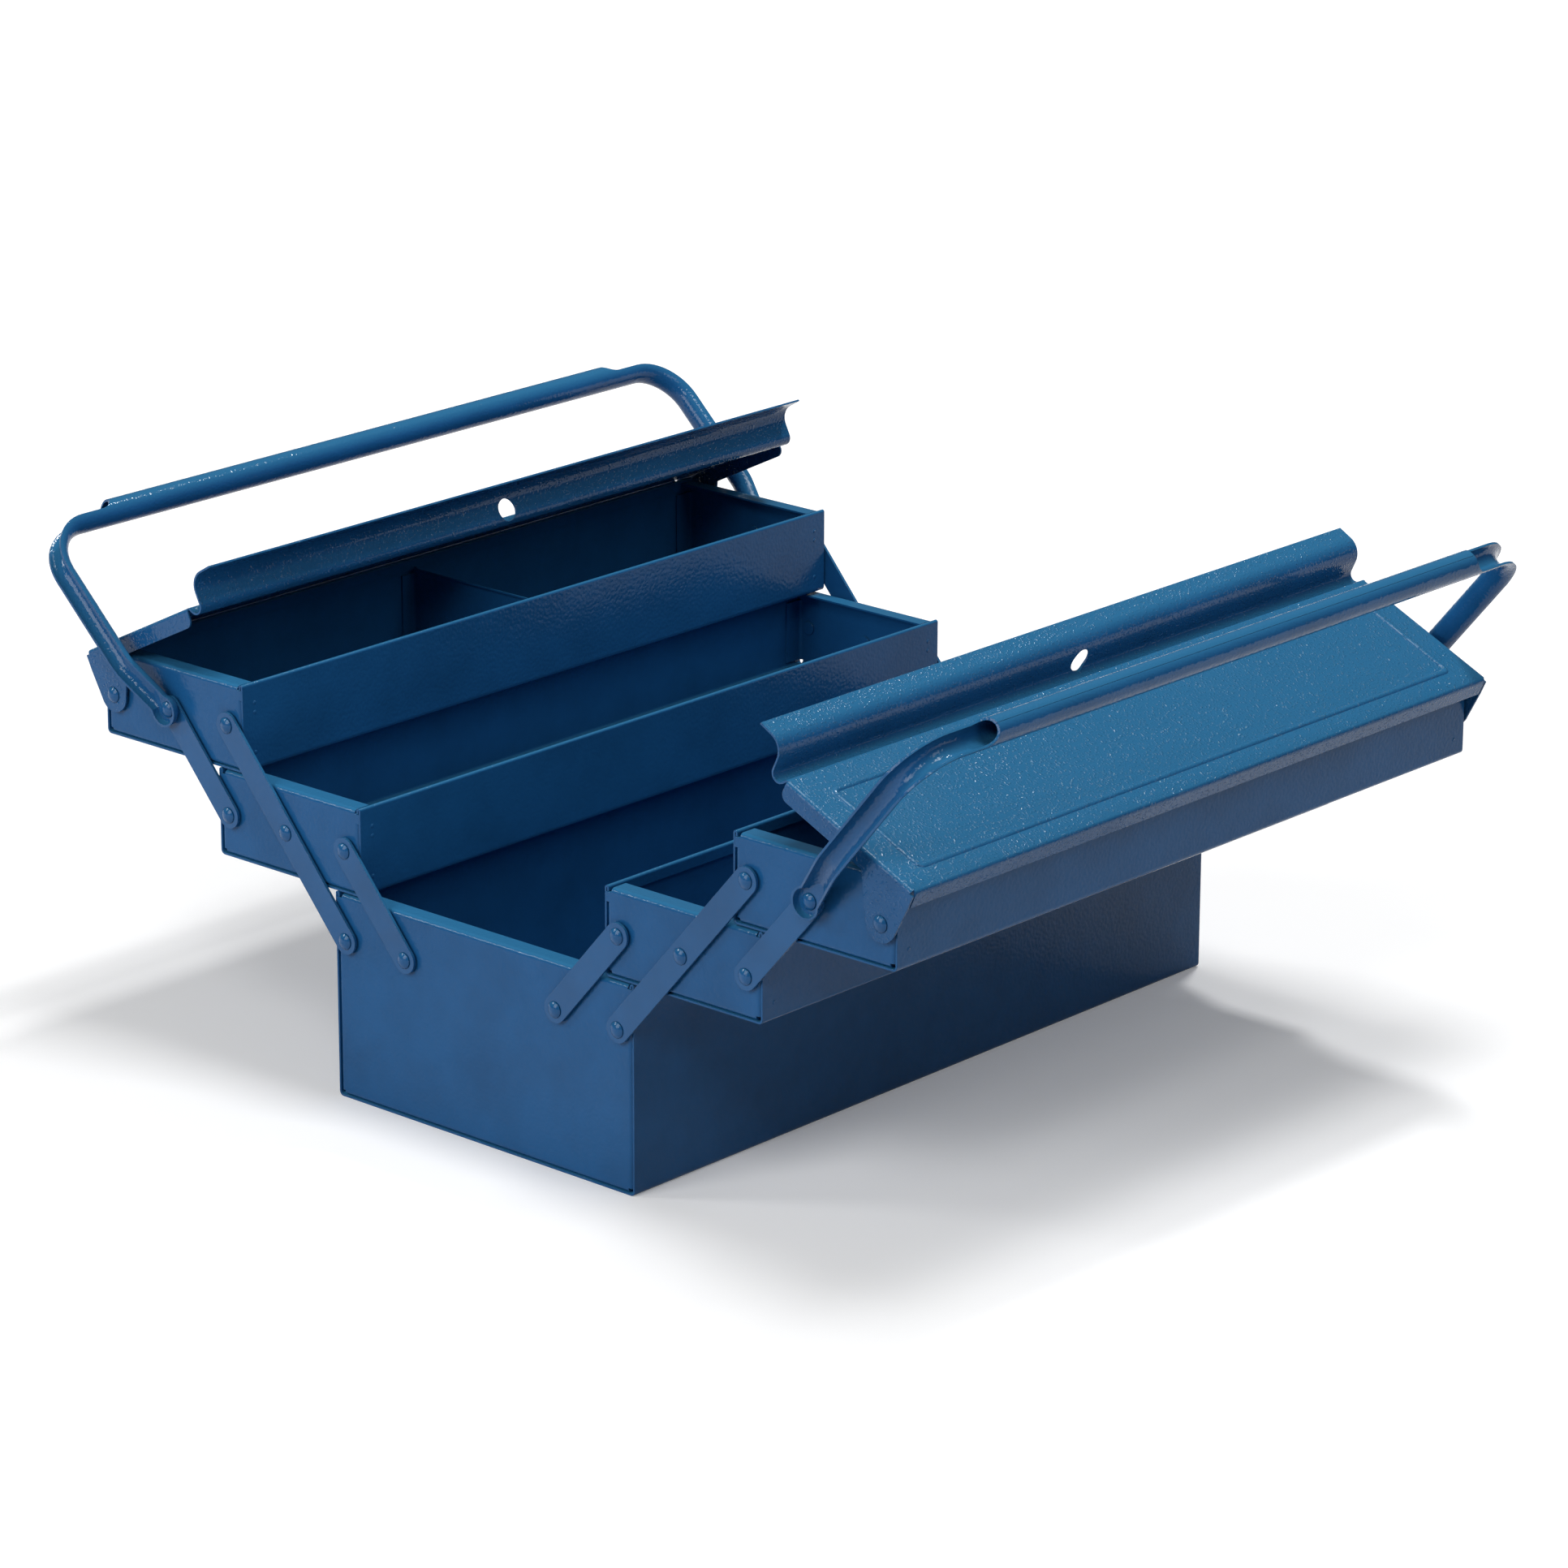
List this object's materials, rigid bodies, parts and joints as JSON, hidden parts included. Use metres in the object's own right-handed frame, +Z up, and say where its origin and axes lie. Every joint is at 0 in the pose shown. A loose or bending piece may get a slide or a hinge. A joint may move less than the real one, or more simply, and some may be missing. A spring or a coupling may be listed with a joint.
{
  "type": "cantilever tool box",
  "caption": "Sheet-steel cantilever tool box: a deep base with trays that fan out on flat links, hinged lids and pressed folding handles.",
  "frame": {"origin": "centre of the base's underside, on the surface that the box stands on", "axes": "+X along the box's length towards its right end, -Y to the front stack, +Z up"},
  "size_m": [0.46, 0.5916, 0.2694],
  "materials": {
    "tray_enamel": "semi-gloss blue stoving enamel on steel sheet",
    "lid_enamel": "semi-gloss blue stoving enamel on steel sheet",
    "link_enamel": "semi-gloss blue stoving enamel on steel sheet",
    "rivet_enamel": "semi-gloss blue stoving enamel on steel sheet",
    "handle_enamel": "semi-gloss blue stoving enamel on steel sheet"
  },
  "bodies": {
    "base": {"base_body": "tray_enamel", "base_left_end": "tray_enamel", "base_right_end": "tray_enamel", "base_washers": "link_enamel", "base_rivets": "rivet_enamel"},
    "front_long_links": {"front_left_long_link": "link_enamel", "front_right_long_link": "link_enamel"},
    "front_inner_links": {"front_left_inner_link": "link_enamel", "front_right_inner_link": "link_enamel"},
    "front_outer_links": {"front_left_outer_link": "link_enamel", "front_right_outer_link": "link_enamel"},
    "front_mid_tray": {"front_mid_body": "tray_enamel", "front_mid_left_end": "tray_enamel", "front_mid_right_end": "tray_enamel", "front_mid_washers": "link_enamel", "front_mid_rivets": "rivet_enamel"},
    "front_upper_tray": {"front_upper_body": "tray_enamel", "front_upper_left_end": "tray_enamel", "front_upper_right_end": "tray_enamel", "front_upper_divider": "tray_enamel", "front_upper_washers": "link_enamel", "front_upper_rivets": "rivet_enamel"},
    "front_lid": {"front_lid": "lid_enamel"},
    "front_handle": {"front_handle": "handle_enamel"},
    "rear_long_links": {"rear_left_long_link": "link_enamel", "rear_right_long_link": "link_enamel"},
    "rear_inner_links": {"rear_left_inner_link": "link_enamel", "rear_right_inner_link": "link_enamel"},
    "rear_outer_links": {"rear_left_outer_link": "link_enamel", "rear_right_outer_link": "link_enamel"},
    "rear_mid_tray": {"rear_mid_body": "tray_enamel", "rear_mid_left_end": "tray_enamel", "rear_mid_right_end": "tray_enamel", "rear_mid_washers": "link_enamel", "rear_mid_rivets": "rivet_enamel"},
    "rear_upper_tray": {"rear_upper_body": "tray_enamel", "rear_upper_left_end": "tray_enamel", "rear_upper_right_end": "tray_enamel", "rear_upper_divider": "tray_enamel", "rear_upper_washers": "link_enamel", "rear_upper_rivets": "rivet_enamel"},
    "rear_lid": {"rear_lid": "lid_enamel"},
    "rear_handle": {"rear_handle": "handle_enamel"}
  },
  "joints": [
    {"name": "front_swing", "type": "hinge", "parent": "base", "child": "front_long_links", "pos_m": [0, -0.091, 0.0829], "axis": [-1, 0, 0], "range_deg": [0, 82.1]},
    {"name": "front_mid_level", "type": "hinge", "parent": "front_long_links", "child": "front_mid_tray", "pos_m": [0, -0.1315, 0.1294], "axis": [-1, 0, 0], "range_deg": [-82.1, 0]},
    {"name": "front_upper_level", "type": "hinge", "parent": "front_long_links", "child": "front_upper_tray", "pos_m": [0, -0.172, 0.1759], "axis": [-1, 0, 0], "range_deg": [-82.1, 0]},
    {"name": "front_inner_swing", "type": "hinge", "parent": "base", "child": "front_inner_links", "pos_m": [0, -0.0505, 0.0829], "axis": [-1, 0, 0], "range_deg": [0, 82.1]},
    {"name": "front_outer_swing", "type": "hinge", "parent": "front_mid_tray", "child": "front_outer_links", "pos_m": [0, -0.172, 0.1294], "axis": [-1, 0, 0], "range_deg": [0, 82.1]},
    {"name": "front_lid_hinge", "type": "hinge", "parent": "front_upper_tray", "child": "front_lid", "pos_m": [0, -0.2536, 0.1745], "axis": [1, 0, 0], "range_deg": [-20.4, 50]},
    {"name": "front_handle_pivot", "type": "hinge", "parent": "front_upper_tray", "child": "front_handle", "pos_m": [0, -0.2125, 0.1759], "axis": [1, 0, 0], "range_deg": [-62.1, 60.4]},
    {"name": "rear_swing", "type": "hinge", "parent": "base", "child": "rear_long_links", "pos_m": [0, 0.091, 0.0829], "axis": [1, 0, 0], "range_deg": [0, 82.1]},
    {"name": "rear_mid_level", "type": "hinge", "parent": "rear_long_links", "child": "rear_mid_tray", "pos_m": [0, 0.1315, 0.1294], "axis": [1, 0, 0], "range_deg": [-82.1, 0]},
    {"name": "rear_upper_level", "type": "hinge", "parent": "rear_long_links", "child": "rear_upper_tray", "pos_m": [0, 0.172, 0.1759], "axis": [1, 0, 0], "range_deg": [-82.1, 0]},
    {"name": "rear_inner_swing", "type": "hinge", "parent": "base", "child": "rear_inner_links", "pos_m": [0, 0.0505, 0.0829], "axis": [1, 0, 0], "range_deg": [0, 82.1]},
    {"name": "rear_outer_swing", "type": "hinge", "parent": "rear_mid_tray", "child": "rear_outer_links", "pos_m": [0, 0.172, 0.1294], "axis": [1, 0, 0], "range_deg": [0, 82.1]},
    {"name": "rear_lid_hinge", "type": "hinge", "parent": "rear_upper_tray", "child": "rear_lid", "pos_m": [0, 0.2536, 0.1745], "axis": [-1, 0, 0], "range_deg": [-24.9, 48.5]},
    {"name": "rear_handle_pivot", "type": "hinge", "parent": "rear_upper_tray", "child": "rear_handle", "pos_m": [0, 0.2125, 0.1759], "axis": [-1, 0, 0], "range_deg": [-68.8, 53.7]}
  ],
  "couplings": [
    {"joint": "front_mid_level", "follows": "front_swing", "ratio": -1},
    {"joint": "front_upper_level", "follows": "front_swing", "ratio": -1},
    {"joint": "front_inner_swing", "follows": "front_swing", "ratio": 1},
    {"joint": "front_outer_swing", "follows": "front_swing", "ratio": 1},
    {"joint": "rear_mid_level", "follows": "rear_swing", "ratio": -1},
    {"joint": "rear_upper_level", "follows": "rear_swing", "ratio": -1},
    {"joint": "rear_inner_swing", "follows": "rear_swing", "ratio": 1},
    {"joint": "rear_outer_swing", "follows": "rear_swing", "ratio": 1}
  ]
}
